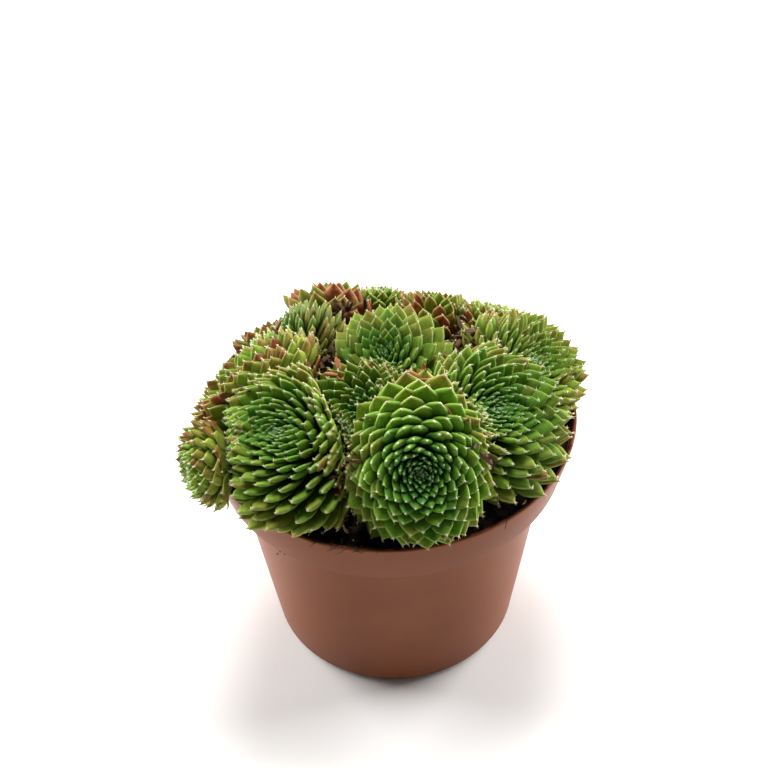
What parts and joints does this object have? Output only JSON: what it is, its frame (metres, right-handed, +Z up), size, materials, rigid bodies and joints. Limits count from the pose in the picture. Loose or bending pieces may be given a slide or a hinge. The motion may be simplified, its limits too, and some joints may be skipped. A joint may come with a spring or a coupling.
{
  "type": "potted houseleek",
  "caption": "Cluster of fleshy houseleek rosettes growing in a round plastic nursery pot filled with dark peat.",
  "frame": {"origin": "centre of the pot's foot, on the surface that the pot stands on", "axes": "+Z up; the side that the picture shows is towards -Y; +X to its right"},
  "size_m": [0.1285, 0.1219, 0.128],
  "materials": {
    "pot": "moulded terracotta-brown plastic, satin, faint ring marks",
    "peat": "dark damp peat with fibres and a few white grains",
    "green_leaf": "fleshy green leaf, soft gloss, pale margins, whitish tip",
    "bronze_leaf": "fleshy leaf flushed red-brown towards its tip, soft gloss"
  },
  "bodies": {
    "root": {"pot": "pot", "peat": "peat", "rosette_front": "green_leaf", "rosette_front_left": "green_leaf", "rosette_middle": "green_leaf", "rosette_front_right": "green_leaf", "rosette_crown": "green_leaf", "rosette_over_rim": "green_leaf", "rosette_left": "bronze_leaf", "rosette_back_left": "green_leaf", "rosette_back": "bronze_leaf", "rosette_back_right": "bronze_leaf", "rosette_right": "green_leaf", "offset_back_left": "bronze_leaf", "offset_back": "bronze_leaf", "offset_back_right": "green_leaf"}
  },
  "joints": []
}
